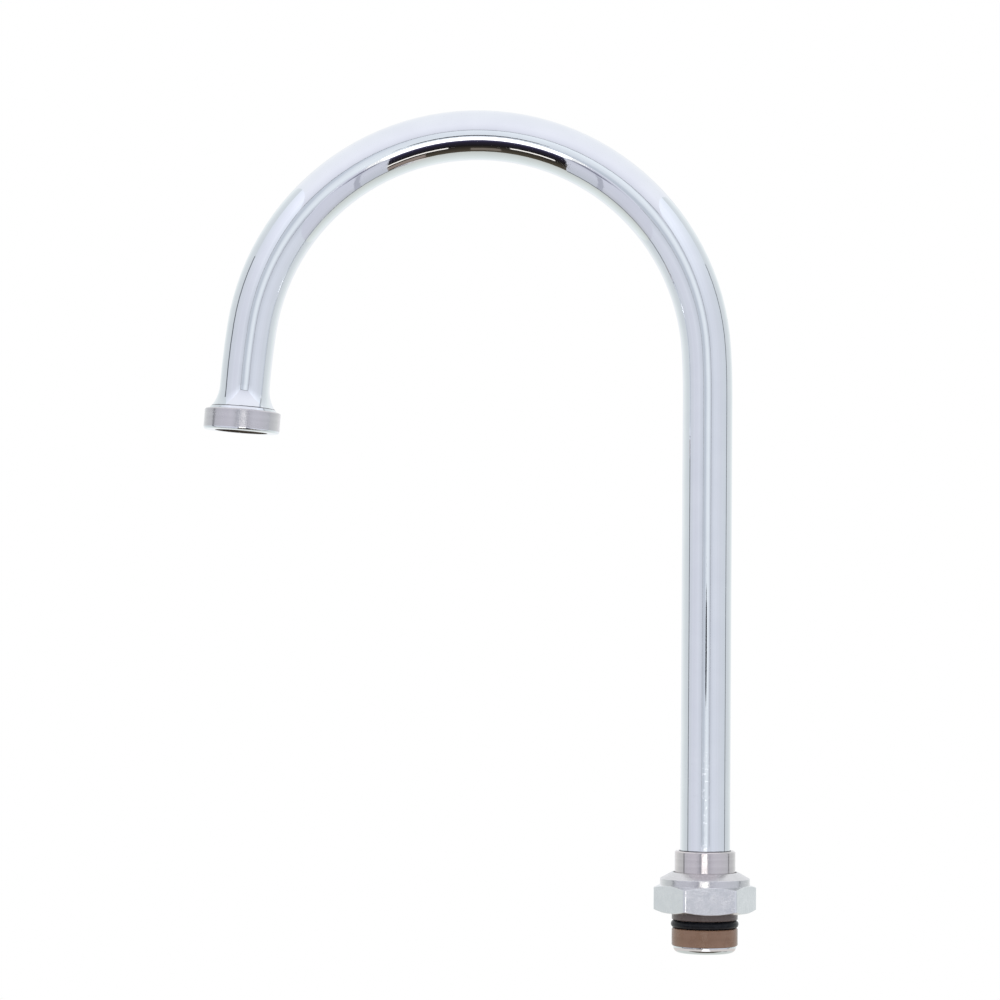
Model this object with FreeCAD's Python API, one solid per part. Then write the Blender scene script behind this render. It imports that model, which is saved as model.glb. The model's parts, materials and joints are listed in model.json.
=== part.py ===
import FreeCAD, Part
import math
import os

os.makedirs("parts", exist_ok=True)

# Swivel gooseneck spout with a captive coupling nut. Millimetres and degrees.
# Z runs up the swivel axis from the lower end of the spud, and the outlet is on the -X side.

# Bent tube: one radius for most of the arch, eased where the tube ran in and out of the bending die
TUBE_DIAMETER = 15.875
TUBE_WALL = 1.0
RISER_LENGTH = 152.95
BEND_RADIUS = 73.025
BEND_ANGLE = 168.1
EASING_RADIUS = 247.5
RUN_IN_ANGLE = 3.5
RUN_OUT_ANGLE = 4.4
FLARE_RADIUS = 11.8
FLARE_MOUTH_DIAMETER = 20.3

# Outlet ring, brazed on the flared end, with a low tapered lip round the joint
OUTLET_RING_DIAMETER = 24.2
OUTLET_RING_HEIGHT = 6.7
OUTLET_THREAD_DIAMETER = 16.7
OUTLET_THREAD_LENGTH = 4.4
OUTLET_RING_ROUND = 0.8
OUTLET_RING_CHAMFER = 0.35
OUTLET_LIP_HEIGHT = 0.85
OUTLET_LIP_FOOT_WIDTH = 0.56
OUTLET_LIP_TOP_WIDTH = 0.22
OUTLET_LIP_CHAMFER = 0.15

# Swivel spud, turned from one bar
SPUD_DIAMETER = 19.24
WATERWAY_DIAMETER = 12.7
SOCKET_DEPTH = 9.0
COLLAR_HEIGHT = 6.7
COLLAR_CHAMFER = 0.4
END_FLANGE_DIAMETER = 20.0
END_FLANGE_HEIGHT = 2.2
END_FLANGE_ROUND = 2.0
JOURNAL_DIAMETER = 17.8
SEAL_GROOVE_DIAMETER = 16.2
KEEPER_GROOVE_DIAMETER = 17.6
KEEPER_LAND_HEIGHT = 2.6

# Split bearing sleeves that centre the spud in the faucet body, with the O-ring between them
SLEEVE_DIAMETER = 20.9
LOWER_SLEEVE_HEIGHT = 5.45
UPPER_SLEEVE_HEIGHT = 5.7
SLEEVE_SPLIT_WIDTH = 0.8
SLEEVE_CHAMFER = 0.25
SEAL_SECTION = 2.6

# Keeper ring in the spud's upper groove, and the friction washer between it and the nut
KEEPER_DIAMETER = 23.0
KEEPER_THICKNESS = 1.3
KEEPER_GAP_WIDTH = 6.0
WASHER_THICKNESS = 0.95

# Coupling nut
NUT_ACROSS_FLATS = 28.575
NUT_HEIGHT = 12.6
NUT_HEX_HEIGHT = 8.5
NUT_HEX_CHAMFER_ANGLE = 22.0
NUT_HEX_FIRST_CORNER_ANGLE = 3.2
NUT_HEX_CORNER_ROUND = 1.1
NUT_SHOULDER_DIAMETER = 28.4
NUT_SHOULDER_HEIGHT = 2.1
NUT_TOP_DIAMETER = 21.0
NUT_LIP_HEIGHT = 4.25
NUT_HOLE_DIAMETER = 20.24
NUT_THREAD_DIAMETER = 25.4
NUT_THREAD_CHAMFER = 0.7

# Clearances, and the overrun of a cutting solid past what it cuts
RUNNING_CLEARANCE = 0.05
AXIAL_CLEARANCE = 0.05
BRAZING_CLEARANCE = 0.04
SEAL_CLEARANCE = 0.02
WASHER_CLEARANCE = 0.1
OVERRUN = 1.0

FULL_TURN = 360.0
HEX_SIDES = 6
UP = FreeCAD.Vector(0, 0, 1)
BEND_AXIS = FreeCAD.Vector(0, -1, 0)

# Radii used by more than one piece
tube_radius = TUBE_DIAMETER / 2
tube_bore_radius = tube_radius - TUBE_WALL
flare_mouth_radius = FLARE_MOUTH_DIAMETER / 2
spud_radius = SPUD_DIAMETER / 2
journal_radius = JOURNAL_DIAMETER / 2
seal_groove_radius = SEAL_GROOVE_DIAMETER / 2
keeper_groove_radius = KEEPER_GROOVE_DIAMETER / 2
nut_hole_radius = NUT_HOLE_DIAMETER / 2
nut_thread_radius = NUT_THREAD_DIAMETER / 2

# Heights up the swivel axis, each piece standing on the one below it
lower_sleeve_bottom = END_FLANGE_HEIGHT + AXIAL_CLEARANCE
lower_sleeve_top = lower_sleeve_bottom + LOWER_SLEEVE_HEIGHT
seal_middle = lower_sleeve_top + AXIAL_CLEARANCE + SEAL_SECTION / 2
upper_sleeve_bottom = seal_middle + SEAL_SECTION / 2 + AXIAL_CLEARANCE
upper_sleeve_top = upper_sleeve_bottom + UPPER_SLEEVE_HEIGHT
journal_top = upper_sleeve_top + AXIAL_CLEARANCE
keeper_groove_bottom = journal_top + KEEPER_LAND_HEIGHT
keeper_bottom = keeper_groove_bottom + AXIAL_CLEARANCE
keeper_top = keeper_bottom + KEEPER_THICKNESS
keeper_groove_top = keeper_top + AXIAL_CLEARANCE
washer_bottom = keeper_top + AXIAL_CLEARANCE
washer_top = washer_bottom + WASHER_THICKNESS
nut_shelf = washer_top + AXIAL_CLEARANCE
nut_top = nut_shelf + NUT_LIP_HEIGHT
nut_bottom = nut_top - NUT_HEIGHT
collar_top = nut_top + COLLAR_HEIGHT
socket_floor = collar_top - SOCKET_DEPTH


def bent(point, centre, angle):
    """The end of an arc in the arch's plane, from a point round a centre."""
    return centre + FreeCAD.Rotation(BEND_AXIS, angle).multVec(point - centre)


# The tube's centre line in the XZ plane: each arc starts in line with the one before it
riser_top = FreeCAD.Vector(0, 0, socket_floor + RISER_LENGTH)
run_in_centre = riser_top - FreeCAD.Vector(EASING_RADIUS, 0, 0)
bend_start = bent(riser_top, run_in_centre, RUN_IN_ANGLE)
bend_centre = bend_start + (run_in_centre - bend_start) * (BEND_RADIUS / EASING_RADIUS)
bend_end = bent(bend_start, bend_centre, BEND_ANGLE)
run_out_centre = bend_end + (bend_centre - bend_end) * (EASING_RADIUS / BEND_RADIUS)
run_out_end = bent(bend_end, run_out_centre, RUN_OUT_ANGLE)
outlet_turn = RUN_IN_ANGLE + BEND_ANGLE + RUN_OUT_ANGLE
outlet_direction = FreeCAD.Rotation(BEND_AXIS, outlet_turn).multVec(UP)
outlet_tilt = FULL_TURN / 2 - outlet_turn

# The flare is an arc that leaves the tube's wall tangentially and meets the ring at the lip's top
flare_angle = math.degrees(math.acos(1 - (flare_mouth_radius - tube_radius) / FLARE_RADIUS))
flare_length = FLARE_RADIUS * math.sin(math.radians(flare_angle))
lip_top = OUTLET_RING_HEIGHT + OUTLET_LIP_HEIGHT
flare_start = lip_top + flare_length
outlet_centre = run_out_end + outlet_direction * flare_start


def on_circle(centre, radius, angle):
    """The (radius, height) point at an angle on a circle of an outline."""
    return (
        centre[0] + radius * math.cos(math.radians(angle)),
        centre[1] + radius * math.sin(math.radians(angle)),
    )


def arc_step(centre, radius, start_angle, end_angle):
    """The middle and end points of an arc, as one step of an outline."""
    middle = on_circle(centre, radius, (start_angle + end_angle) / 2)
    return middle, on_circle(centre, radius, end_angle)


def turned(start, *steps):
    """A solid turned about Z. A step is the next (radius, height) point, or an arc's middle and end."""

    def place(point):
        return FreeCAD.Vector(point[0], 0, point[1])

    edges = []
    here = start
    for step in steps + (start,):
        if isinstance(step[0], tuple):
            middle, there = step
            edges.append(Part.Arc(place(here), place(middle), place(there)).toShape())
        else:
            there = step
            edges.append(Part.LineSegment(place(here), place(there)).toShape())
        here = there
    return Part.Face(Part.Wire(edges)).revolve(FreeCAD.Vector(), UP, FULL_TURN)


def on_outlet(shape):
    """Move a shape that was turned about Z, with its open end at height 0, on to the outlet's axis."""
    shape.rotate(FreeCAD.Vector(), -BEND_AXIS, outlet_tilt)
    shape.translate(outlet_centre)
    return shape


def slit(shape, width, reach, bottom, top):
    """Cut a radial slit through the back of a ring, on the side away from the outlet's plane."""
    blade = Part.makeBox(width, reach + OVERRUN, top - bottom + 2 * OVERRUN)
    blade.translate(FreeCAD.Vector(-width / 2, 0, bottom - OVERRUN))
    return shape.cut(blade).Solids[0]


def tube_section(centre):
    """The tube's ring-shaped section, square to Z."""
    outer = Part.makeCircle(tube_radius, centre, UP)
    inner = Part.makeCircle(tube_bore_radius, centre, UP)
    return Part.makeFace([outer, inner], "Part::FaceMakerBullseye")


def gooseneck_tube():
    """Thin-walled tube: straight riser, eased long bend, and a flared end in the outlet ring."""
    riser = tube_section(FreeCAD.Vector(0, 0, socket_floor)).extrude(UP * RISER_LENGTH)
    section = tube_section(riser_top)
    arcs = ((run_in_centre, RUN_IN_ANGLE), (bend_centre, BEND_ANGLE), (run_out_centre, RUN_OUT_ANGLE))
    bends = []
    for centre, angle in arcs:
        bends.append(section.revolve(centre, BEND_AXIS, angle))
        section.rotate(centre, BEND_AXIS, angle)

    arc_centre = (tube_radius + FLARE_RADIUS, flare_start)
    bell_bore_radius = flare_mouth_radius - TUBE_WALL
    inner_arc_radius = FLARE_RADIUS + TUBE_WALL
    inner_angle = math.degrees(math.acos((arc_centre[0] - bell_bore_radius) / inner_arc_radius))
    half_turn = FULL_TURN / 2
    flared_end = on_outlet(
        turned(
            (tube_bore_radius, flare_start),
            (tube_radius, flare_start),
            arc_step(arc_centre, FLARE_RADIUS, half_turn, half_turn + flare_angle),
            (flare_mouth_radius, OUTLET_THREAD_LENGTH),
            (bell_bore_radius, OUTLET_THREAD_LENGTH),
            on_circle(arc_centre, inner_arc_radius, half_turn + inner_angle),
            arc_step(arc_centre, inner_arc_radius, half_turn + inner_angle, half_turn),
        )
    )
    return riser.fuse([*bends, flared_end]).removeSplitter().Solids[0]


def outlet_ring():
    """Ring with a lip and a counterbore for the tube's flared end, and a bore for an internal thread."""
    outer = OUTLET_RING_DIAMETER / 2
    thread = OUTLET_THREAD_DIAMETER / 2
    seat = flare_mouth_radius + BRAZING_CLEARANCE
    round_centre = (outer - OUTLET_RING_ROUND, OUTLET_RING_ROUND)
    return on_outlet(
        turned(
            (thread, 0),
            (round_centre[0], 0),
            arc_step(round_centre, OUTLET_RING_ROUND, -FULL_TURN / 4, 0),
            (outer, OUTLET_RING_HEIGHT - OUTLET_RING_CHAMFER),
            (outer - OUTLET_RING_CHAMFER, OUTLET_RING_HEIGHT),
            (seat + OUTLET_LIP_FOOT_WIDTH, OUTLET_RING_HEIGHT),
            (seat + OUTLET_LIP_TOP_WIDTH, lip_top),
            (seat + OUTLET_LIP_CHAMFER, lip_top),
            (seat, lip_top - OUTLET_LIP_CHAMFER),
            (seat, OUTLET_THREAD_LENGTH),
            (thread, OUTLET_THREAD_LENGTH),
        )
    )


def swivel_spud():
    """Hollow shaft: tube socket and collar, keeper groove, bearing journals, seal groove, rounded end."""
    waterway = WATERWAY_DIAMETER / 2
    socket = tube_radius + BRAZING_CLEARANCE
    flange = END_FLANGE_DIAMETER / 2
    round_centre = (flange - END_FLANGE_ROUND, END_FLANGE_ROUND)
    return turned(
        (waterway, 0),
        (round_centre[0], 0),
        arc_step(round_centre, END_FLANGE_ROUND, -FULL_TURN / 4, 0),
        (flange, END_FLANGE_HEIGHT),
        (journal_radius, END_FLANGE_HEIGHT),
        (journal_radius, lower_sleeve_top),
        (seal_groove_radius, lower_sleeve_top),
        (seal_groove_radius, upper_sleeve_bottom),
        (journal_radius, upper_sleeve_bottom),
        (journal_radius, journal_top),
        (spud_radius, journal_top),
        (spud_radius, keeper_groove_bottom),
        (keeper_groove_radius, keeper_groove_bottom),
        (keeper_groove_radius, keeper_groove_top),
        (spud_radius, keeper_groove_top),
        (spud_radius, collar_top - COLLAR_CHAMFER),
        (spud_radius - COLLAR_CHAMFER, collar_top),
        (socket, collar_top),
        (socket, socket_floor),
        (waterway, socket_floor),
    )


def bearing_sleeve(bottom, top):
    """Split plastic sleeve that runs on a journal of the spud and fits the bore of the faucet body."""
    outer = SLEEVE_DIAMETER / 2
    inner = journal_radius + RUNNING_CLEARANCE
    whole = turned(
        (inner, bottom),
        (outer - SLEEVE_CHAMFER, bottom),
        (outer, bottom + SLEEVE_CHAMFER),
        (outer, top - SLEEVE_CHAMFER),
        (outer - SLEEVE_CHAMFER, top),
        (inner, top),
    )
    return slit(whole, SLEEVE_SPLIT_WIDTH, outer, bottom, top)


def o_ring():
    """Rubber ring in the groove between the two sleeves, standing a little proud of them."""
    section_radius = SEAL_SECTION / 2
    ring_radius = seal_groove_radius + SEAL_CLEARANCE + section_radius
    return Part.makeTorus(ring_radius, section_radius, FreeCAD.Vector(0, 0, seal_middle), UP)


def keeper_ring():
    """Open snap ring in the spud's upper groove, which carries the washer and the nut."""
    outer = KEEPER_DIAMETER / 2
    inner = keeper_groove_radius + SEAL_CLEARANCE
    whole = turned((inner, keeper_bottom), (outer, keeper_bottom), (outer, keeper_top), (inner, keeper_top))
    return slit(whole, KEEPER_GAP_WIDTH, outer, keeper_bottom, keeper_top)


def friction_washer():
    """Plain washer snapped in above the nut's thread, which bears on the keeper ring."""
    outer = nut_thread_radius - WASHER_CLEARANCE
    return turned(
        (nut_hole_radius, washer_bottom),
        (outer, washer_bottom),
        (outer, washer_top),
        (nut_hole_radius, washer_top),
    )


def coupling_nut():
    """Hexagon with turned chamfers, a round shoulder and a cone above it, bored inside for the thread."""
    hex_top = nut_bottom + NUT_HEX_HEIGHT
    shoulder_top = hex_top + NUT_SHOULDER_HEIGHT
    flat_radius = NUT_ACROSS_FLATS / 2
    corner_radius = flat_radius / math.cos(math.pi / HEX_SIDES)
    shoulder = NUT_SHOULDER_DIAMETER / 2
    top = NUT_TOP_DIAMETER / 2

    corners = []
    for side in range(HEX_SIDES + 1):
        angle = NUT_HEX_FIRST_CORNER_ANGLE + side * FULL_TURN / HEX_SIDES
        corners.append(FreeCAD.Vector(*on_circle((0, 0), corner_radius, angle), nut_bottom))
    prism = Part.Face(Part.makePolygon(corners)).extrude(UP * NUT_HEX_HEIGHT)
    upright = [edge for edge in prism.Edges if edge.BoundBox.ZLength > NUT_HEX_HEIGHT / 2]
    prism = prism.makeFillet(NUT_HEX_CORNER_ROUND, upright)

    # the chamfer's cone starts at the flats, runs out past the corners, and cuts both ends of the hexagon
    reach = corner_radius - flat_radius + OVERRUN
    drop = reach * math.tan(math.radians(NUT_HEX_CHAMFER_ANGLE))
    barrel = turned(
        (0, nut_bottom),
        (flat_radius, nut_bottom),
        (flat_radius + reach, nut_bottom + drop),
        (flat_radius + reach, hex_top - drop),
        (flat_radius, hex_top),
        (0, hex_top),
    )
    crown = turned((0, hex_top), (shoulder, hex_top), (shoulder, shoulder_top), (top, nut_top), (0, nut_top))
    inside = turned(
        (0, nut_bottom - OVERRUN),
        (nut_thread_radius + NUT_THREAD_CHAMFER, nut_bottom - OVERRUN),
        (nut_thread_radius + NUT_THREAD_CHAMFER, nut_bottom),
        (nut_thread_radius, nut_bottom + NUT_THREAD_CHAMFER),
        (nut_thread_radius, nut_shelf),
        (nut_hole_radius, nut_shelf),
        (nut_hole_radius, nut_top + OVERRUN),
        (0, nut_top + OVERRUN),
    )
    return prism.common(barrel).fuse(crown).cut(inside).removeSplitter().Solids[0]


pieces = {
    "gooseneck_tube": gooseneck_tube(),
    "outlet_ring": outlet_ring(),
    "swivel_spud": swivel_spud(),
    "lower_bearing_sleeve": bearing_sleeve(lower_sleeve_bottom, lower_sleeve_top),
    "upper_bearing_sleeve": bearing_sleeve(upper_sleeve_bottom, upper_sleeve_top),
    "o_ring": o_ring(),
    "keeper_ring": keeper_ring(),
    "friction_washer": friction_washer(),
    "coupling_nut": coupling_nut(),
}

for name, shape in pieces.items():
    shape.exportStep(f"parts/{name}.step")
    print(f"{name}: {len(shape.Solids)} solid, valid {shape.isValid()}, {shape.Volume:.1f} mm3")
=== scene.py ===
import json
import math

import bmesh
import bpy
from mathutils import Matrix, Vector


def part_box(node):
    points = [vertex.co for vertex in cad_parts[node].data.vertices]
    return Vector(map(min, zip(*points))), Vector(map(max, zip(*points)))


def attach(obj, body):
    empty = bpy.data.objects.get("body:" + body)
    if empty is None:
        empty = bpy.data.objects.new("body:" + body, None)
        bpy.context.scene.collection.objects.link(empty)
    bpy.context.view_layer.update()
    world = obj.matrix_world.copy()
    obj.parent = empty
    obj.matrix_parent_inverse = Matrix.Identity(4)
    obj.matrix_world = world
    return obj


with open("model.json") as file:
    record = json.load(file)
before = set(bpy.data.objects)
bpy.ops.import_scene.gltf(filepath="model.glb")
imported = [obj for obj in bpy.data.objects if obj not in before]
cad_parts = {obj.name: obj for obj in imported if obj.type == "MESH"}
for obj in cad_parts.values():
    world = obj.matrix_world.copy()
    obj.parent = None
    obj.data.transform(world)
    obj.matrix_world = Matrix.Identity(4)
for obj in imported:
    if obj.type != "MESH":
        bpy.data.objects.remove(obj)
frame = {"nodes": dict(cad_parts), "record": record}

solids = frame["nodes"]
mounts = {mount["name"]: mount for mount in frame["record"]["mounts"]}
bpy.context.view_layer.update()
MM = 0.001


# Swivel spud: one hollow shaft turned from bar, with the collar that the tube is brazed into.
# It is plated after turning, so the rings left by the lathe still show under a satin sheen.


def add(tree, kind, inputs=(), **settings):
    """Add a node to a tree, and set or link its inputs by their names or numbers."""
    made = tree.nodes.new("ShaderNode" + kind)
    for name, value in settings.items():
        setattr(made, name, value)
    for name, value in dict(inputs).items():
        if isinstance(value, bpy.types.NodeSocket):
            tree.links.new(value, made.inputs[name])
        else:
            made.inputs[name].default_value = value
    return made


def calc(tree, operation, *values):
    """One step of arithmetic on sockets or numbers."""
    return add(tree, "Math", dict(enumerate(values)), operation=operation).outputs[0]


def spread(tree, value, low, high, to_low=0.0, to_high=1.0):
    """Stretch a value's range from low and high to another one, and stop at its ends."""
    inputs = {"Value": value, "From Min": low, "From Max": high, "To Min": to_low, "To Max": to_high}
    return add(tree, "MapRange", inputs).outputs["Result"]


def blended(tree, share, first, second):
    """A colour between two others, by a share from 0 to 1. Each is a colour or the socket of one."""
    share_input, first_input, second_input = 0, 6, 7
    inputs = {share_input: share}
    for number, colour in ((first_input, first), (second_input, second)):
        inputs[number] = colour if isinstance(colour, bpy.types.NodeSocket) else (*colour, 1)
    return add(tree, "Mix", inputs, data_type="RGBA").outputs[2]


def height_at(tree, place):
    """The height of a place."""
    return add(tree, "SeparateXYZ", {0: place}).outputs["Z"]


def effect(name, takes, gives):
    """An empty node group with named sockets. Returns the group, its inputs and its outputs."""
    group = bpy.data.node_groups.new(name, "ShaderNodeTree")
    for socket, (kind, value) in takes.items():
        made = group.interface.new_socket(socket, in_out="INPUT", socket_type="NodeSocket" + kind)
        made.default_value = value
    for socket, kind in gives.items():
        group.interface.new_socket(socket, in_out="OUTPUT", socket_type="NodeSocket" + kind)
    return group, group.nodes.new("NodeGroupInput").outputs, group.nodes.new("NodeGroupOutput").inputs


def use(tree, group, **inputs):
    """Put a node group into a tree. Returns its outputs."""
    return add(tree, "Group", inputs, node_tree=group).outputs


def finish_of(name, colour, metallic, roughness, **sockets):
    """A material with one Principled shader. Returns it with its tree, its shader and the surface's place."""
    material = bpy.data.materials.new(name)
    material.use_nodes = True
    tree = material.node_tree
    shader = tree.nodes["Principled BSDF"]
    shader.inputs["Base Color"].default_value = (*colour, 1)
    shader.inputs["Metallic"].default_value = metallic
    shader.inputs["Roughness"].default_value = roughness
    for socket, value in sockets.items():
        shader.inputs[socket.replace("_", " ")].default_value = value
    return material, tree, shader, add(tree, "TexCoord").outputs["Object"]


def set_bumps(tree, shader, height, distance, strength, **normal):
    """Let a height bend the surface's normal, or the Normal that is given."""
    inputs = {"Height": height, "Distance": distance, "Strength": strength, **normal}
    tree.links.new(add(tree, "Bump", inputs).outputs[0], shader.inputs["Normal"])


# lines that run round a turned piece, also over its flat and sloping faces
turning_lines, taken, given = effect(
    "turning_lines",
    {"Place": ("Vector", (0, 0, 0)), "Spacing": ("Float", 0.2 * MM)},
    {"Height": "Float", "Streak": "Float", "Radius": "Float"},
)
parted = add(turning_lines, "SeparateXYZ", {0: taken["Place"]}).outputs
across = calc(turning_lines, "POWER", parted["X"], 2.0)
along = calc(turning_lines, "POWER", parted["Y"], 2.0)
radius = calc(turning_lines, "SQRT", calc(turning_lines, "ADD", across, along))
travel = calc(turning_lines, "DIVIDE", calc(turning_lines, "ADD", parted["Z"], radius), taken["Spacing"])
fine = add(turning_lines, "TexNoise", {"W": travel, "Scale": 1.0, "Detail": 3.0}, noise_dimensions="1D")
coarse = add(turning_lines, "TexNoise", {"W": travel, "Scale": 0.11, "Detail": 2.0}, noise_dimensions="1D")
turning_lines.links.new(fine.outputs["Fac"], given["Height"])
turning_lines.links.new(radius, given["Radius"])
turning_lines.links.new(spread(turning_lines, coarse.outputs["Fac"], 0.3, 0.7), given["Streak"])

# soft blotches where plating, handling or grease changes the sheen a little
smudges, taken, given = effect(
    "smudges", {"Place": ("Vector", (0, 0, 0)), "Size": ("Float", 5 * MM)}, {"Mask": "Float"}
)
per_size = calc(smudges, "DIVIDE", 1.0, taken["Size"])
cloud = add(smudges, "TexNoise", {"Vector": taken["Place"], "Scale": per_size, "Detail": 3.0})
smudges.links.new(spread(smudges, cloud.outputs["Fac"], 0.35, 0.7), given["Mask"])

# outer edges broken by deburring: shaded as if rounded, with a mask for their plated polish and the nut's
# painted highlight
broken_edges, taken, given = effect(
    "broken_edges", {"Radius": ("Float", 0.12 * MM)}, {"Normal": "Vector", "Mask": "Float"}
)
rounded = add(broken_edges, "Bevel", {"Radius": taken["Radius"]}, samples=6).outputs["Normal"]
flat = add(broken_edges, "NewGeometry").outputs["Normal"]
turn = add(broken_edges, "VectorMath", {0: rounded, 1: flat}, operation="DOT_PRODUCT").outputs["Value"]
broken_edges.links.new(rounded, given["Normal"])
broken_edges.links.new(spread(broken_edges, turn, 0.995, 0.85), given["Mask"])

mirror_tone = (0.84, 0.86, 0.89)


def turned_metal(name, plating, dullness, tilt, centre, bore, polished_bands):
    """Satin plating over turned metal, dull in the bore, and polished in bands of height on its own axis."""
    brushed = {"Anisotropic": 0.75, "Anisotropic_Rotation": 0.25}
    material, tree, shader, place = finish_of(name, plating, metallic=1.0, roughness=0.2, **brushed)
    own_axis = {"Vector": place, "Location": centre, "Rotation": (0, tilt, 0)}
    centred = add(tree, "Mapping", own_axis, vector_type="TEXTURE").outputs[0]
    lines = use(tree, turning_lines, Place=centred, Spacing=0.24 * MM)
    cloudy = use(tree, smudges, Place=place, Size=6 * MM)["Mask"]
    edge = use(tree, broken_edges, Radius=0.14 * MM)
    inside = spread(tree, lines["Radius"], bore + 0.3 * MM, bore + 0.1 * MM)
    height = height_at(tree, centred)
    band_fade = 0.1 * MM
    polished = 0.0
    for low, high in polished_bands:
        above = spread(tree, height, low, low + band_fade)
        band = calc(tree, "MULTIPLY", above, spread(tree, height, high + band_fade, high))
        polished = calc(tree, "MAXIMUM", polished, band)
    darker = [channel * 0.96 for channel in plating]
    lighter = [channel * 1.03 for channel in plating]
    tone = blended(tree, lines["Streak"], darker, lighter)
    tone = blended(tree, polished, tone, mirror_tone)
    tone = blended(tree, inside, tone, (0.3, 0.26, 0.22))
    tree.links.new(tone, shader.inputs["Base Color"])
    edge_gloss = spread(tree, edge["Mask"], 0, 1, 0, -0.04)
    dull = calc(tree, "ADD", spread(tree, cloudy, 0, 1, *dullness), edge_gloss)
    dull = calc(tree, "ADD", dull, calc(tree, "MULTIPLY", inside, 0.3))
    dull = calc(tree, "MULTIPLY", dull, spread(tree, polished, 0, 1, 1.0, 0.2))
    tree.links.new(dull, shader.inputs["Roughness"])
    set_bumps(tree, shader, lines["Height"], distance=0.004 * MM, strength=0.8, Normal=edge["Normal"])
    tangent = add(tree, "Tangent", direction_type="RADIAL", axis="Z").outputs[0]
    tree.links.new(tangent, shader.inputs["Tangent"])
    return material


spud_metal = turned_metal(
    "spud_metal",
    plating=(0.68, 0.635, 0.635),
    dullness=(0.13, 0.19),
    tilt=0.0,
    centre=(0, 0, 0),
    bore=mounts["inlet_waterway"]["dims"]["r_mm"] * MM,
    polished_bands=[(-1.0 * MM, 2.1 * MM)],
)
solids["swivel_spud"].material_slots[0].material = spud_metal


# Bearing sleeves: split rings of brown filled plastic, turned from tube, which snap on the spud's journals
# and run in the bore of the faucet body. Both take one finish; the upper one, under the nut, is painted
# darker as shade.

sleeve_brown, tree, shader, place = finish_of(
    "sleeve_brown", (0.24, 0.12, 0.075), metallic=0.0, roughness=0.28
)
lines = use(tree, turning_lines, Place=place, Spacing=0.3 * MM)
cloudy = use(tree, smudges, Place=place, Size=2.5 * MM)["Mask"]
edge = use(tree, broken_edges, Radius=0.1 * MM)
shade = calc(tree, "ADD", calc(tree, "MULTIPLY", lines["Streak"], 0.6), calc(tree, "MULTIPLY", cloudy, 0.4))
brown = blended(tree, shade, (0.2, 0.112, 0.07), (0.265, 0.155, 0.105))
# painted shade: above 10 mm the upper sleeve is painted darker and greyer, for the shade under the nut
painted_shade_under_nut = spread(tree, height_at(tree, place), 9 * MM, 10 * MM)
brown = blended(tree, painted_shade_under_nut, brown, (0.12, 0.09, 0.085))
tree.links.new(brown, shader.inputs["Base Color"])
tree.links.new(spread(tree, cloudy, 0, 1, 0.24, 0.34), shader.inputs["Roughness"])
set_bumps(tree, shader, lines["Height"], distance=0.008 * MM, strength=0.7, Normal=edge["Normal"])
for name in ("lower_bearing_sleeve", "upper_bearing_sleeve"):
    solids[name].material_slots[0].material = sleeve_brown


# O-ring: moulded black rubber, greased before it is pushed into the groove between the sleeves.
# The grease gives it patches of gloss over the fine grain of the mould.


def blotchy_finish(name, colour, metallic, roughness, blotch, tones, sheen, **sockets):
    """A finish whose tone and sheen change in soft blotches of one size. Returns what finish_of does."""
    material, tree, shader, place = finish_of(name, colour, metallic, roughness, **sockets)
    cloudy = use(tree, smudges, Place=place, Size=blotch)["Mask"]
    tree.links.new(blended(tree, cloudy, *tones), shader.inputs["Base Color"])
    tree.links.new(spread(tree, cloudy, 0, 1, *sheen), shader.inputs["Roughness"])
    return material, tree, shader, place


rubber, tree, shader, place = blotchy_finish(
    "greased_rubber",
    (0.006, 0.007, 0.011),
    metallic=0.0,
    roughness=0.3,
    blotch=1.6 * MM,
    tones=((0.004, 0.005, 0.008), (0.01, 0.011, 0.016)),
    sheen=(0.2, 0.45),
    Specular_IOR_Level=0.2,
)
grain = add(tree, "TexNoise", {"Vector": place, "Scale": 2500.0, "Detail": 2.0}).outputs["Fac"]
set_bumps(tree, shader, grain, distance=0.01 * MM, strength=0.4)
solids["o_ring"].material_slots[0].material = rubber


# Gooseneck tube: 5/8 in brass tube, bent, flared at the outlet, polished and plated to a mirror.
# It is brazed into the spud's collar below and into the outlet ring above. Handling has nicked it low down.

# short fine scratches in two directions, left by handling and by a wrench
scuffs, taken, given = effect(
    "scuffs",
    {"Place": ("Vector", (0, 0, 0)), "Width": ("Float", 0.2 * MM), "Length": ("Float", 2 * MM)},
    {"Mask": "Float"},
)
per_width = calc(scuffs, "DIVIDE", 1.0, taken["Width"])
per_length = calc(scuffs, "DIVIDE", 1.0, taken["Length"])
fineness = add(scuffs, "CombineXYZ", {"X": per_width, "Y": per_width, "Z": per_length}).outputs[0]
scratched = []
for direction in ((0.5, 0.3, 0.7), (-0.9, 0.4, -0.3)):
    leaning = add(scuffs, "Mapping", {"Vector": taken["Place"], "Rotation": direction}).outputs[0]
    stretched = add(scuffs, "VectorMath", {0: leaning, 1: fineness}, operation="MULTIPLY").outputs[0]
    streaks = add(scuffs, "TexNoise", {"Vector": stretched, "Scale": 1.0, "Detail": 1.0}).outputs["Fac"]
    scratched.append(spread(scuffs, streaks, 0.66, 0.71))
scuffs.links.new(calc(scuffs, "MAXIMUM", *scratched), given["Mask"])

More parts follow.
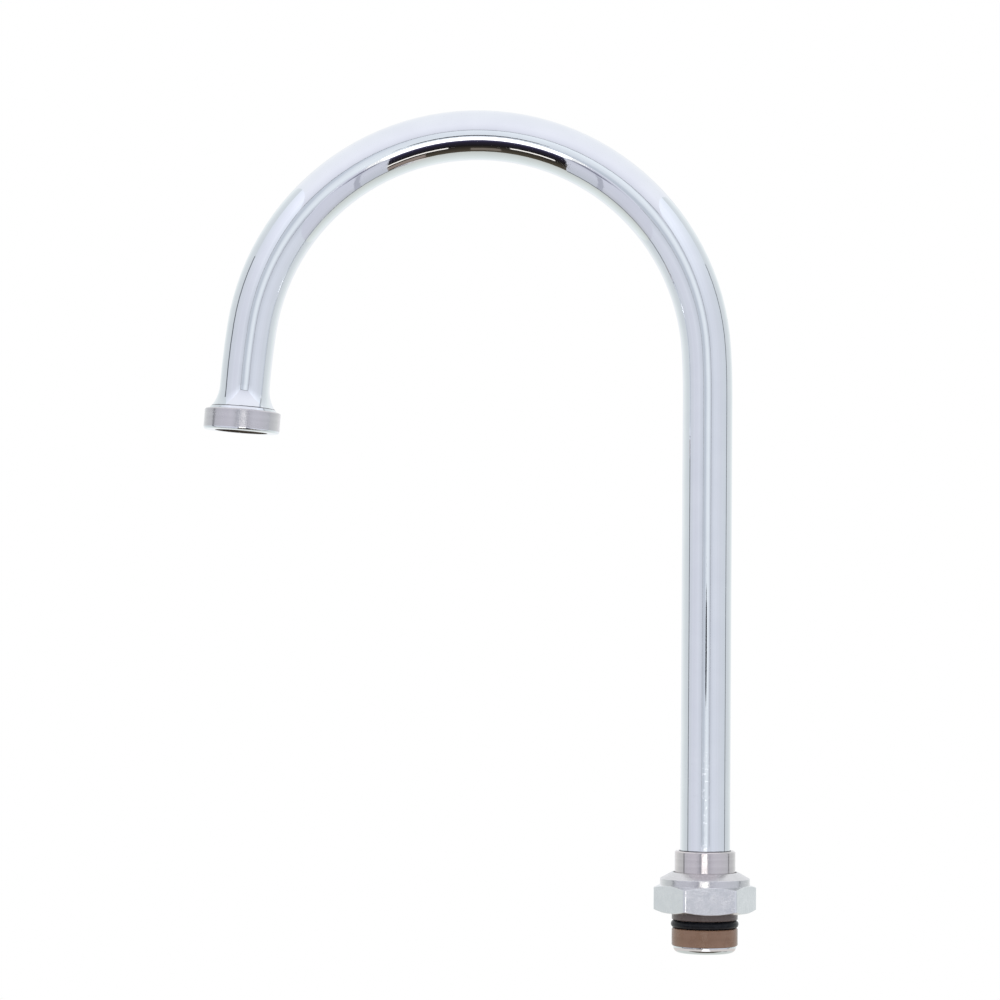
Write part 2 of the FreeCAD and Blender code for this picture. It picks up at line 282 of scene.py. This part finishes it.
chrome, tree, shader, place = finish_of("mirror_plating", mirror_tone, metallic=1.0, roughness=0.03)
cloudy = use(tree, smudges, Place=place, Size=9 * MM)["Mask"]
specks = use(tree, scuffs, Place=place, Width=0.35 * MM, Length=0.8 * MM)["Mask"]
tree.links.new(blended(tree, cloudy, (0.83, 0.85, 0.88), (0.86, 0.88, 0.905)), shader.inputs["Base Color"])
hazy = calc(tree, "ADD", spread(tree, cloudy, 0, 1, 0.02, 0.045), calc(tree, "MULTIPLY", specks, 0.07))
dashes = add(tree, "Mapping", {"Vector": place, "Scale": (0.28, 0.28, 1.0)}).outputs[0]
nicks = add(tree, "TexNoise", {"Vector": dashes, "Scale": 1900.0, "Detail": 1.0}).outputs["Fac"]
height = height_at(tree, place)
handled = spread(tree, height, 74 * MM, 56 * MM)
above_collar = spread(tree, height, 37 * MM, 48 * MM, 0.12)
low_down = calc(tree, "MULTIPLY", handled, above_collar)
nicked = calc(tree, "MULTIPLY", spread(tree, nicks, 0.56, 0.64), low_down)
hazy = calc(tree, "ADD", hazy, calc(tree, "MULTIPLY", nicked, 0.14))
tree.links.new(hazy, shader.inputs["Roughness"])
ripple = add(tree, "TexNoise", {"Vector": place, "Scale": 130.0, "Detail": 1.0}).outputs["Fac"]
set_bumps(tree, shader, ripple, distance=0.015 * MM, strength=1.0)
solids["gooseneck_tube"].material_slots[0].material = chrome

braze = blotchy_finish(
    "tarnished_braze",
    (0.1, 0.1, 0.12),
    metallic=0.9,
    roughness=0.35,
    blotch=1.2 * MM,
    tones=((0.045, 0.045, 0.055), (0.17, 0.165, 0.18)),
    sheen=(0.28, 0.5),
)[0]


def points_round(shape, in_place, turn, outline):
    """Points of a shape at one angle round an axis. Each point of the outline is a radius and a height."""
    ring = []
    for radius, height in outline:
        place = Vector((radius * math.cos(turn), radius * math.sin(turn), height))
        ring.append(shape.verts.new(in_place @ place))
    return ring


def join_rings(shape, ring, following, smooth):
    """Faces from one ring of points to the next."""
    for corner in range(len(ring)):
        beside = (corner + 1) % len(ring)
        face = shape.faces.new((ring[corner], ring[beside], following[beside], following[corner]))
        face.smooth = smooth


def mesh_piece(name, shape, material):
    """A piece in the scene with the mesh of a finished shape."""
    mesh = bpy.data.meshes.new(name)
    shape.to_mesh(mesh)
    shape.free()
    mesh.materials.append(material)
    piece = bpy.data.objects.new(name, mesh)
    bpy.context.collection.objects.link(piece)
    return piece


def braze_bead(name, in_place, outline):
    """A thin uneven bead round a joint. Each point of its outline is a radius, a height and its waver."""
    stations = 240
    shape = bmesh.new()
    rings = []
    for station in range(stations):
        turn = 2 * math.pi * station / stations
        swell = 0.5 * math.sin(5 * turn + 0.7) + 0.4 * math.sin(13 * turn + 2.1) + 0.3 * math.sin(31 * turn)
        wavering = [(radius, height + waver * swell) for radius, height, waver in outline]
        rings.append(points_round(shape, in_place, turn, wavering))
    for ring, following in zip(rings, rings[1:] + rings[:1]):
        join_rings(shape, ring, following, smooth=True)
    bmesh.ops.recalc_face_normals(shape, faces=shape.faces)
    bead = mesh_piece(name, shape, braze)
    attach(bead, "spout")


collar_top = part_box("swivel_spud")[1][2]
collar_outline = (
    (7.84 * MM, collar_top + 0.24 * MM, 0.05 * MM),
    (8.0 * MM, collar_top + 0.2 * MM, 0.05 * MM),
    (8.14 * MM, collar_top + 0.08 * MM, 0.02 * MM),
    (8.34 * MM, collar_top + 0.015 * MM, 0.0),
    (8.34 * MM, collar_top - 0.05 * MM, 0.0),
    (7.84 * MM, collar_top - 0.05 * MM, 0.0),
)
braze_bead("collar_braze", Matrix.Identity(4), collar_outline)


# Outlet ring: turned ring brazed on the flared end, threaded inside for an aerator.
# It has the spud's finish, turned on the outlet's own axis.

outlet = mounts["outlet_thread"]
ring_metal = turned_metal(
    "ring_metal",
    plating=(0.66, 0.635, 0.65),
    dullness=(0.2, 0.28),
    tilt=math.atan2(outlet["axis"][0], outlet["axis"][2]) - math.pi,
    centre=Vector(outlet["pos_m"]),
    bore=outlet["dims"]["r_mm"] * MM,
    polished_bands=[(-1.0 * MM, 0.75 * MM), (6.72 * MM, 9.0 * MM)],
)
solids["outlet_ring"].material_slots[0].material = ring_metal


def looking_into(mount):
    """The place of a mount and the direction into the part, as a matrix that takes Z there."""
    inward = Vector((0, 0, 1)).rotation_difference(-Vector(mount["axis"]))
    return Matrix.Translation(mount["pos_m"]) @ inward.to_matrix().to_4x4()


# heights are from the ring's mouth, along its own axis
lip_top = 7.55 * MM
lip_outline = (
    (9.8 * MM, lip_top + 0.3 * MM, 0.05 * MM),
    (10.02 * MM, lip_top + 0.25 * MM, 0.05 * MM),
    (10.17 * MM, lip_top + 0.1 * MM, 0.02 * MM),
    (10.36 * MM, lip_top + 0.015 * MM, 0.0),
    (10.36 * MM, lip_top - 0.06 * MM, 0.0),
    (10.0 * MM, lip_top - 0.2 * MM, 0.0),
)
braze_bead("outlet_braze", looking_into(outlet), lip_outline)


def internal_thread(name, mount, pitch, depth, lead_in, run_out, material):
    """The ridge of a cut thread in a bore: one long wedge wound round the wall, thinning out at both ends."""
    stations_per_turn = 60
    thinning = stations_per_turn / 3
    sunk = 0.03 * MM
    flat = pitch / 8
    wall = mount["dims"]["r_mm"] * MM
    length = mount["dims"]["length_mm"] * MM - lead_in - run_out - pitch
    stations = round(length / pitch * stations_per_turn)
    in_place = looking_into(mount)
    shape = bmesh.new()
    rings = []
    for station in range(stations + 1):
        turn = 2 * math.pi * station / stations_per_turn
        fade = min(1.0, station / thinning, (stations - station) / thinning)
        crest = wall - depth * fade
        middle = lead_in + pitch / 2 + pitch * station / stations_per_turn
        outline = (
            (wall + sunk, middle - pitch / 2 + flat / 2),
            (crest, middle - flat / 2),
            (crest, middle + flat / 2),
            (wall + sunk, middle + pitch / 2 - flat / 2),
        )
        rings.append(points_round(shape, in_place, turn, outline))
    for ring, following in zip(rings, rings[1:]):
        join_rings(shape, ring, following, smooth=False)
    shape.faces.new(reversed(rings[0]))
    shape.faces.new(rings[-1])
    bmesh.ops.recalc_face_normals(shape, faces=shape.faces)
    return mesh_piece(name, shape, material)


aerator_thread = internal_thread(
    "aerator_thread",
    outlet,
    pitch=1.411 * MM,
    depth=0.75 * MM,
    lead_in=0.15 * MM,
    run_out=0.0,
    material=ring_metal,
)
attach(aerator_thread, "spout")


# Coupling nut: hexagon with a round shoulder and a cone, turned and then plated in satin.
# It hangs loose on the spud and screws on the faucet body. Wrenches have scuffed it.

satin_tone = (0.79, 0.8, 0.81)
satin, tree, shader, place = finish_of("satin_plating", satin_tone, metallic=1.0, roughness=0.2)
lines = use(tree, turning_lines, Place=place, Spacing=0.3 * MM)
cloudy = use(tree, smudges, Place=place, Size=3 * MM)["Mask"]
edge = use(tree, broken_edges, Radius=0.2 * MM)
marks = use(tree, scuffs, Place=place, Width=0.22 * MM, Length=1.6 * MM)["Mask"]
hexagon_top = 21.3 * MM
# painted reflection: above the hexagon, the shoulder and cone are painted darker for the dark zones the
# shoulder mirrors
painted_dark_above_hexagon = spread(tree, height_at(tree, place), hexagon_top - 0.05 * MM, hexagon_top + 0.05 * MM)
tone = blended(tree, cloudy, satin_tone, (0.85, 0.855, 0.865))
tone = blended(tree, painted_dark_above_hexagon, tone, (0.68, 0.67, 0.68))
# painted highlight: the edges are painted lighter along the edge mask; the scuffs are lighter wear marks
edge_highlight_and_scuffs = calc(tree, "MAXIMUM", edge["Mask"], calc(tree, "MULTIPLY", marks, 0.55))
tone = blended(tree, edge_highlight_and_scuffs, tone, (0.95, 0.94, 0.95))
tree.links.new(tone, shader.inputs["Base Color"])
edge_gloss = spread(tree, edge["Mask"], 0, 1, 0, -0.06)
dull = calc(tree, "ADD", spread(tree, cloudy, 0, 1, 0.16, 0.25), edge_gloss)
dull = calc(tree, "ADD", dull, calc(tree, "MULTIPLY", marks, 0.13))
tree.links.new(dull, shader.inputs["Roughness"])
grain = add(tree, "TexNoise", {"Vector": place, "Scale": 3200.0, "Detail": 2.0}).outputs["Fac"]
texture = calc(tree, "ADD", calc(tree, "MULTIPLY", lines["Height"], 0.6), calc(tree, "MULTIPLY", grain, 0.6))
set_bumps(tree, shader, texture, distance=0.011 * MM, strength=0.8, Normal=edge["Normal"])
solids["coupling_nut"].material_slots[0].material = satin

coupling_thread = internal_thread(
    "coupling_thread",
    mounts["nut_thread"],
    pitch=1.27 * MM,
    depth=0.6 * MM,
    lead_in=0.5 * MM,
    run_out=0.3 * MM,
    material=satin,
)
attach(coupling_thread, "nut")


# Keeper ring and friction washer: a stamped steel snap ring carries the nut, on a white plastic washer.
# At rest both show only from below, through the nut's mouth.

solids["keeper_ring"].material_slots[0].material = blotchy_finish(
    "spring_steel",
    (0.55, 0.55, 0.56),
    metallic=1.0,
    roughness=0.35,
    blotch=2 * MM,
    tones=((0.48, 0.48, 0.5), (0.6, 0.6, 0.6)),
    sheen=(0.28, 0.45),
)[0]
solids["friction_washer"].material_slots[0].material = blotchy_finish(
    "white_acetal",
    (0.8, 0.8, 0.77),
    metallic=0.0,
    roughness=0.4,
    blotch=3 * MM,
    tones=((0.74, 0.74, 0.7), (0.82, 0.82, 0.8)),
    sheen=(0.35, 0.5),
)[0]


# Stage: a plain pale floor in a white room, and round the object a photographer's tent of pale cloth.
# Only reflections show the tent: its frame and seams, the lens hole, and a dark mat and white sheet below.


def ramp(tree, value, stops):
    """A colour that goes from stop to stop as a value rises. Each stop is a value and a colour."""
    low, high = stops[0][0], stops[-1][0]
    made = add(tree, "ValToRGB", {"Fac": spread(tree, value, low, high)})
    elements = made.color_ramp.elements
    for number, (where, colour) in enumerate(stops):
        inner = 0 < number < len(stops) - 1
        element = elements.new((where - low) / (high - low)) if inner else elements[-1 if number else 0]
        element.color = (*colour, 1)
    return made.outputs["Color"]


def bare_material(name):
    """A material whose tree is still empty. Returns it with its tree."""
    made = bpy.data.materials.new(name)
    made.use_nodes = True
    made.node_tree.nodes.clear()
    return made, made.node_tree


def end_in_glow(tree, colour, strength):
    """Let a bare material do nothing but glow."""
    glow = add(tree, "Emission", {"Color": colour, "Strength": strength})
    add(tree, "OutputMaterial", {"Surface": glow.outputs[0]})


def cloth(name, axis, stops, heights=((0.0, 1.0), (1.0, 1.0)), folds=0.0):
    """A glowing cloth, by default without folds. Its colour changes along an axis, its light with height."""
    made, tree = bare_material(name)
    place = add(tree, "TexCoord").outputs["Object"]
    parted = add(tree, "SeparateXYZ", {0: place}).outputs
    stretched = add(tree, "Mapping", {"Vector": place, "Scale": (14.0, 14.0, 1.6)}).outputs[0]
    fold = add(tree, "TexNoise", {"Vector": stretched, "Scale": 1.0, "Detail": 1.5}).outputs["Fac"]
    level = ramp(tree, parted["Z"], [(height, (light, light, light)) for height, light in heights])
    level = calc(tree, "MULTIPLY", level, spread(tree, fold, 0.3, 0.7, 1.0 - folds, 1.0))
    end_in_glow(tree, ramp(tree, parted[axis], stops), level)
    return made


def paper(name, colour, strength=1.0):
    """A card of one colour that glows evenly."""
    made, tree = bare_material(name)
    end_in_glow(tree, (*colour, 1), strength)
    return made


def tent_piece(name, shape, material):
    """A piece of the tent. It shows in reflections, not to the camera or in the light on matt surfaces."""
    piece = mesh_piece(name, shape, material)
    piece.visible_camera = False
    piece.visible_diffuse = False
    piece.visible_shadow = False


def sheet(name, corners, material):
    """A flat piece of the tent between its corners."""
    shape = bmesh.new()
    shape.faces.new([shape.verts.new(corner) for corner in corners])
    tent_piece(name, shape, material)


def panel(name, xs, ys, zs, material):
    """A flat rectangle of the tent. Two of its spans have a start and an end, and the third is one place."""
    spans = (xs, ys, zs)
    first, second = [axis for axis in range(3) if not isinstance(spans[axis], float)]
    corners = []
    for along, across in ((0, 0), (1, 0), (1, 1), (0, 1)):
        corner = list(spans)
        corner[first] = spans[first][along]
        corner[second] = spans[second][across]
        corners.append(corner)
    sheet(name, corners, material)


# the front cloth in its frame, which stands a little nearer to the object than the cloth
left, right = -0.445, 0.315
front, back = -1.06, 0.6
ground, top = -0.04, 0.58
frame_left, frame_right, frame_top = -0.405, 0.265, 0.545
near = front + 4 * MM
upright_width, bar_height = 18 * MM, 19 * MM
front_stops = (
    (frame_left, (0.63, 0.67, 0.73)),
    (-0.28, (0.57, 0.61, 0.68)),
    (-0.2, (0.61, 0.66, 0.73)),
    (-0.12, (0.8, 0.84, 0.9)),
    (0.0, (0.88, 0.93, 0.98)),
    (0.1, (0.86, 0.91, 0.96)),
    (0.15, (0.74, 0.78, 0.84)),
    (0.2, (0.64, 0.67, 0.73)),
    (frame_right, (0.62, 0.65, 0.72)),
)
front_heights = ((ground, 1.0), (0.3, 1.0), (0.42, 1.04), (top, 1.08))
front_cloth = cloth("front_cloth", "X", front_stops, front_heights)
panel("front_cloth", (frame_left, frame_right), front, (ground, frame_top), front_cloth)
surround = paper("front_surround", (0.68, 0.7, 0.77))
panel("front_left", (left, frame_left), front, (ground, top), surround)
panel("front_right", (frame_right, right), front, (ground, top), surround)
panel("front_top", (frame_left, frame_right), front, (frame_top, top), surround)
frame_shade = paper("frame_shade", (0.1, 0.11, 0.13))
panel("frame_left", (frame_left - upright_width, frame_left), near, (ground, frame_top), frame_shade)
panel("frame_right", (frame_right, frame_right + upright_width), near, (ground, frame_top), frame_shade)
panel("frame_top", (frame_left, frame_right), near, (frame_top, frame_top + bar_height), frame_shade)

# the side cloths, each with a dark seam just inside, and the cloths behind the object and over it
seam_shade = paper("seam_shade", (0.17, 0.18, 0.2))
seam_top = 0.385
seam_gap = 2 * MM
side_heights = ((ground, 1.03), (0.2, 1.03), (0.33, 1.05), (0.44, 1.22), (top, 1.42))
side_back_heights = ((ground, 0.95), (0.35, 1.0), (top, 1.08))
sides = (
    ("left", left, -0.015, 0.02, (0.67, 0.7, 0.76), (0.73, 0.745, 0.83), (0.76, 0.78, 0.86)),
    ("right", right, 0.022, 0.045, (0.68, 0.72, 0.77), (0.74, 0.765, 0.84), (0.76, 0.79, 0.87)),
)
for side, wall_x, seam_start, seam_end, by_seam, midway, far in sides:
    side_stops = (
        (front, (0.64, 0.67, 0.74)),
        (-0.85, (0.67, 0.7, 0.77)),
        (-0.5, far),
        (-0.25, midway),
        (seam_start, by_seam),
    )
    side_cloth = cloth(f"{side}_cloth", "Y", side_stops, side_heights, folds=0.05)
    panel(f"{side}_cloth", wall_x, (front, seam_start), (ground, top), side_cloth)
    side_back_stops = (
        (seam_start, (0.68, 0.72, 0.75)),
        (0.2, (0.76, 0.8, 0.82)),
        (0.4, (0.86, 0.91, 0.91)),
        (back, (0.89, 0.93, 0.93)),
    )
    side_back_cloth = cloth(f"{side}_back_cloth", "Y", side_back_stops, side_back_heights)
    panel(f"{side}_back_cloth", wall_x, (seam_start, back), (ground, top), side_back_cloth)
    inner_x = wall_x - math.copysign(seam_gap, wall_x)
    panel(f"{side}_seam", inner_x, (seam_start, seam_end), (ground, seam_top), seam_shade)
panel("back_cloth", (left, right), back, (ground, top), paper("back_cloth", (0.93, 0.95, 0.97)))
roof_stops = (
    (front, (0.74, 0.75, 0.82)),
    (-0.75, (0.84, 0.85, 0.94)),
    (-0.3, (0.94, 0.95, 1.03)),
    (0.1, (0.94, 0.96, 1.01)),
    (back, (0.99, 1.0, 1.02)),
)
panel("roof_cloth", (left, right), (front, back), top, cloth("roof_cloth", "Y", roof_stops))

# the dark mat under the object, with its tapes and worn places
mat_left, mat_right = -0.19, 0.045
mat_front, mat_back = -0.52, -0.012
on_mat = ground + 1 * MM
mat_stops = (
    (mat_front, (0.3, 0.28, 0.4)),
    (-0.48, (0.07, 0.065, 0.13)),
    (-0.38, (0.025, 0.022, 0.04)),
    (-0.2, (0.014, 0.012, 0.012)),
    (mat_back, (0.085, 0.07, 0.05)),
)
panel("mat", (mat_left, mat_right), (mat_front, mat_back), ground, cloth("mat", "Y", mat_stops))
tape_span = (-0.188, -0.155)
white_tape = paper("white_tape", (1.0, 0.95, 0.88), strength=1.25)
panel("tape_left", (-0.17, -0.112), tape_span, on_mat, white_tape)
panel("tape_right", (-0.038, mat_right), tape_span, on_mat, white_tape)
panel("mat_patch", (-0.01, mat_right), (-0.12, -0.04), on_mat, paper("mat_patch", (0.3, 0.24, 0.21)))
panel("mat_streak", (-0.1, -0.065), (-0.12, -0.05), on_mat, paper("mat_streak", (0.2, 0.17, 0.14)))

# the white sheet in front of the mat, and the ground beside and behind them, parted by darker lines
sheet_outline = (
    (mat_left, mat_front),
    (mat_right, mat_front),
    (0.06, -0.8),
    (0.07, front),
    (-0.228, front),
    (-0.21, -0.8),
)
sheet_stops = (
    (front, (0.95, 0.95, 0.97)),
    (-0.97, (1.3, 1.28, 1.28)),
    (-0.9, (3.4, 3.3, 3.3)),
    (-0.84, (6.0, 5.8, 5.7)),
    (-0.64, (5.6, 5.5, 5.4)),
    (-0.58, (2.0, 1.95, 1.95)),
    (mat_front, (1.0, 1.0, 1.05)),
)
sheet_glow = cloth("white_sheet", "Y", sheet_stops)
sheet("white_sheet", [(x, y, ground) for x, y in sheet_outline], sheet_glow)
beside_stops = (
    (-1.0, (0.74, 0.76, 0.86)),
    (-0.85, (0.62, 0.63, 0.73)),
    (-0.7, (0.5, 0.51, 0.59)),
    (-0.65, (0.24, 0.24, 0.31)),
    (-0.57, (0.24, 0.24, 0.31)),
    (-0.5, (0.64, 0.65, 0.73)),
    (-0.3, (0.68, 0.69, 0.77)),
    (-0.03, (0.58, 0.6, 0.66)),
)
beside = cloth("beside_sheet", "Y", beside_stops)
ground_stops = (
    (front, (0.8, 0.81, 0.9)),
    (-0.85, (0.68, 0.69, 0.78)),
    (-0.5, (0.7, 0.71, 0.8)),
    (-0.15, (0.68, 0.69, 0.77)),
    (-0.01, (0.56, 0.57, 0.62)),
)
open_ground = cloth("open_ground", "Y", ground_stops)
line_shade = paper("line_shade", (0.46, 0.47, 0.54))
line_width, line_front = 14 * MM, -0.5
seam_back = 0.012
for side, edge_x, wide_x, far_x, line_x, wall_x in (
    ("left", mat_left, -0.235, -0.36, -0.245, left),
    ("right", mat_right, 0.115, 0.2, 0.095, right),
):
    strip_outline = (
        (edge_x, mat_back),
        (edge_x, mat_front),
        (wide_x, -0.75),
        (far_x, -0.85),
        (line_x, line_front),
        (line_x, mat_back),
    )
    sheet(f"ground_strip_{side}", [(x, y, ground + 0.5 * MM) for x, y in strip_outline], beside)
    panel(f"ground_{side}", sorted((wall_x, line_x)), (front, mat_back), ground, open_ground)
    line_span = sorted((line_x, line_x + math.copysign(line_width, line_x)))
    panel(f"ground_line_{side}", line_span, (line_front, mat_back), on_mat, line_shade)
    panel(f"ground_seam_{side}", sorted((edge_x, wall_x)), (mat_back, seam_back), on_mat, seam_shade)
behind_stops = (
    (mat_back, (0.62, 0.64, 0.6)),
    (0.06, (0.69, 0.72, 0.69)),
    (0.2, (0.8, 0.85, 0.83)),
    (back, (0.95, 1.0, 1.0)),
)
panel("ground_back", (left, right), (mat_back, back), ground, cloth("ground_back", "Y", behind_stops))

# cards close under the object, mirrored in its lower end, and the hole that the lens looks through
shape = bmesh.new()
card_place = Matrix.Translation((0, 0, -2.5 * MM))
for radius in (12.3 * MM, 24 * MM):
    bmesh.ops.create_circle(shape, segments=64, radius=radius, matrix=card_place)
bmesh.ops.bridge_loops(shape, edges=shape.edges)
tent_piece("under_card", shape, paper("under_card", (0.73, 0.68, 0.645)))
bright_card = paper("bright_card", (1.5, 1.45, 1.45))
bright_span = (-2.6 * MM, 2.6 * MM)
bright_front, bright_back = -17.6 * MM, -12.5 * MM
bright_low, bright_high = -2.4 * MM, -0.3 * MM
panel("under_card_middle", bright_span, (bright_front, bright_back), bright_low, bright_card)
panel("under_card_lip", bright_span, bright_front, (bright_low, bright_high), bright_card)

shape = bmesh.new()
flattened = Matrix.Diagonal((1.0, 0.61, 1.0, 1.0))
hole_place = Matrix.Translation((-0.075, near, 0.09)) @ Matrix.Rotation(math.pi / 2, 4, "X") @ flattened
bmesh.ops.create_circle(shape, cap_ends=True, segments=48, radius=62 * MM, matrix=hole_place)
tent_piece("lens_hole", shape, paper("lens_hole", (0.015, 0.015, 0.025)))


def seen_directly(tree):
    """1 for what the camera sees, also in metal or through glass, and 0 for light that lands on a piece."""
    rays = add(tree, "LightPath").outputs
    mirrored = calc(tree, "MAXIMUM", rays["Is Glossy Ray"], rays["Is Transmission Ray"])
    return calc(tree, "MAXIMUM", rays["Is Camera Ray"], mirrored)


# the floor lies far down, so that views from below show the object too
pale, tree = bare_material("pale_floor")
matt = add(tree, "BsdfDiffuse", {"Color": (0.5, 0.5, 0.5, 1)}).outputs[0]
strength = calc(tree, "MULTIPLY", seen_directly(tree), 0.45)
glow = add(tree, "Emission", {"Color": (1, 1, 1, 1), "Strength": strength}).outputs[0]
add(tree, "OutputMaterial", {"Surface": add(tree, "AddShader", {0: matt, 1: glow}).outputs[0]})
shape = bmesh.new()
floor_place = Matrix.Translation((0, 0, -0.9))
bmesh.ops.create_grid(shape, x_segments=8, y_segments=8, size=4.0, matrix=floor_place)
floor = mesh_piece("floor", shape, pale)
floor.visible_glossy = False

world = bpy.data.worlds.new("white_room")
bpy.context.scene.world = world
world.use_nodes = True
tree = world.node_tree
background = tree.nodes["Background"].inputs
background["Color"].default_value = (1, 1, 1, 1)
tree.links.new(spread(tree, seen_directly(tree), 0, 1, 1.15, 1.0), background["Strength"])


# Camera: a long lens about a metre in front of the arch, a little above the coupling nut.
# It looks slightly up, and is turned a little about its own line of sight.

camera_place = Vector((-0.06597, -1.0466, 0.1024))
aim = Vector((-0.06597, 0.0, 0.14295))
roll = math.radians(0.457)
lens_data = bpy.data.cameras.new("camera")
lens_data.sensor_width = 36.0
lens_data.lens = 118.33
camera = bpy.data.objects.new("camera", lens_data)
bpy.context.collection.objects.link(camera)
camera.rotation_mode = "QUATERNION"
camera.location = camera_place
look = (aim - camera_place).to_track_quat("-Z", "Y")
camera.rotation_quaternion = look @ Matrix.Rotation(roll, 3, "Z").to_quaternion()
bpy.context.scene.camera = camera

bpy.context.scene.view_settings.view_transform = "Standard"
